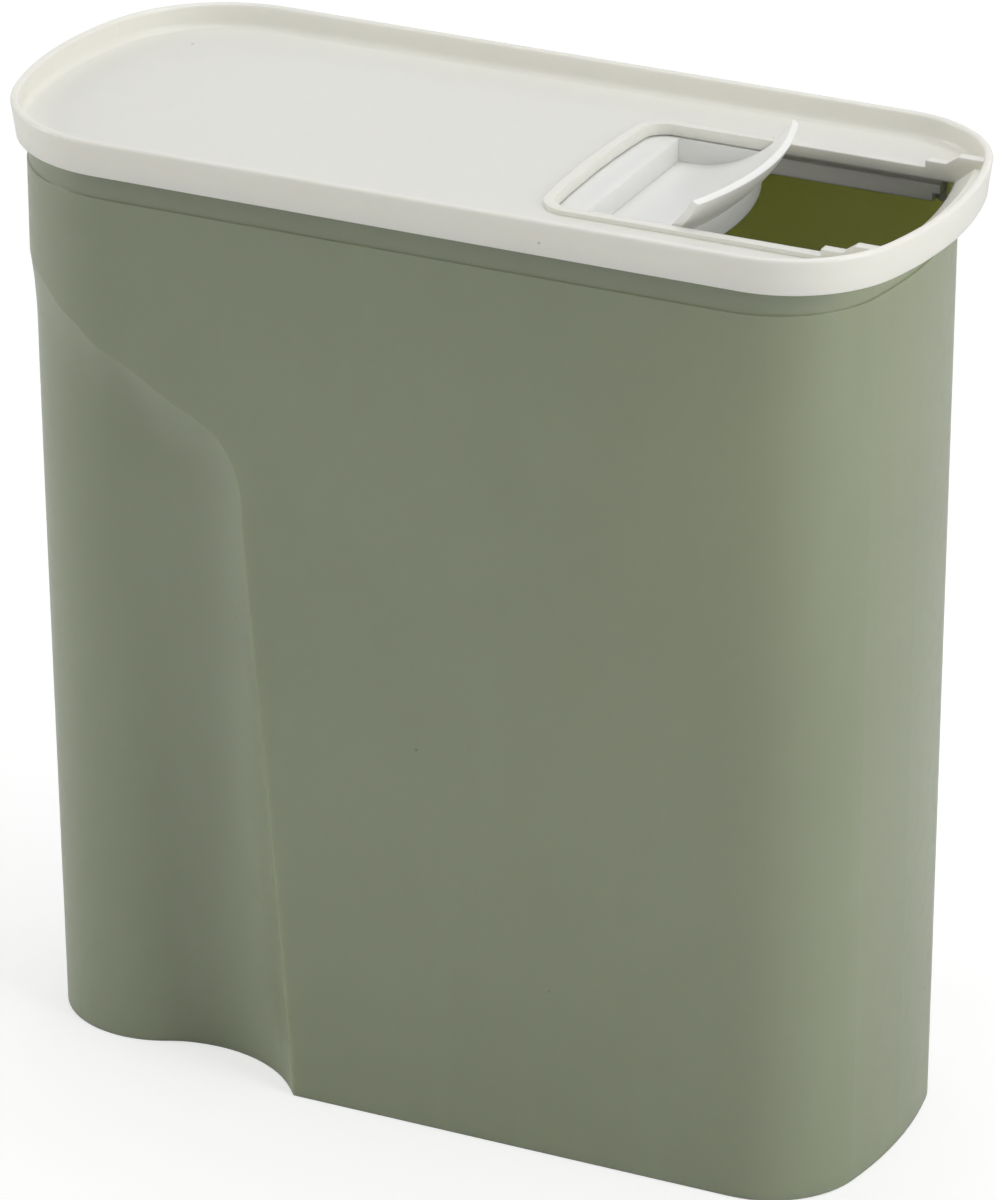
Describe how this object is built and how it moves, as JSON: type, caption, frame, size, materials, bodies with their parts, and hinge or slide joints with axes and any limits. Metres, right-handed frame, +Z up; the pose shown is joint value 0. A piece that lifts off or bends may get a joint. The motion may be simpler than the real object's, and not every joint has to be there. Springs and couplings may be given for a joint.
{
  "type": "food storage container",
  "caption": "Tall slim pet food keeper with a waisted rear grip, a press-on tray lid and a sliding cover over its pouring mouth.",
  "frame": {"origin": "middle of the base, on the surface it stands on", "axes": "+Z up, +X towards the pouring end, +Y to the left of someone who looks along +X"},
  "size_m": [0.2577, 0.1098, 0.2699],
  "materials": {
    "green_plastic": "smooth satin polypropylene",
    "white_plastic": "smooth satin polypropylene"
  },
  "bodies": {
    "container": {"container": "green_plastic"},
    "lid": {"lid": "white_plastic"},
    "sliding_cover": {"sliding_cover": "white_plastic"}
  },
  "joints": [
    {"name": "lid_lift", "type": "slide", "parent": "container", "child": "lid", "axis": [0, 0, 1], "range_m": [0, 0.05]},
    {"name": "cover_slide", "type": "slide", "parent": "lid", "child": "sliding_cover", "axis": [1, 0, 0], "range_m": [-0.006, 0.046]}
  ]
}
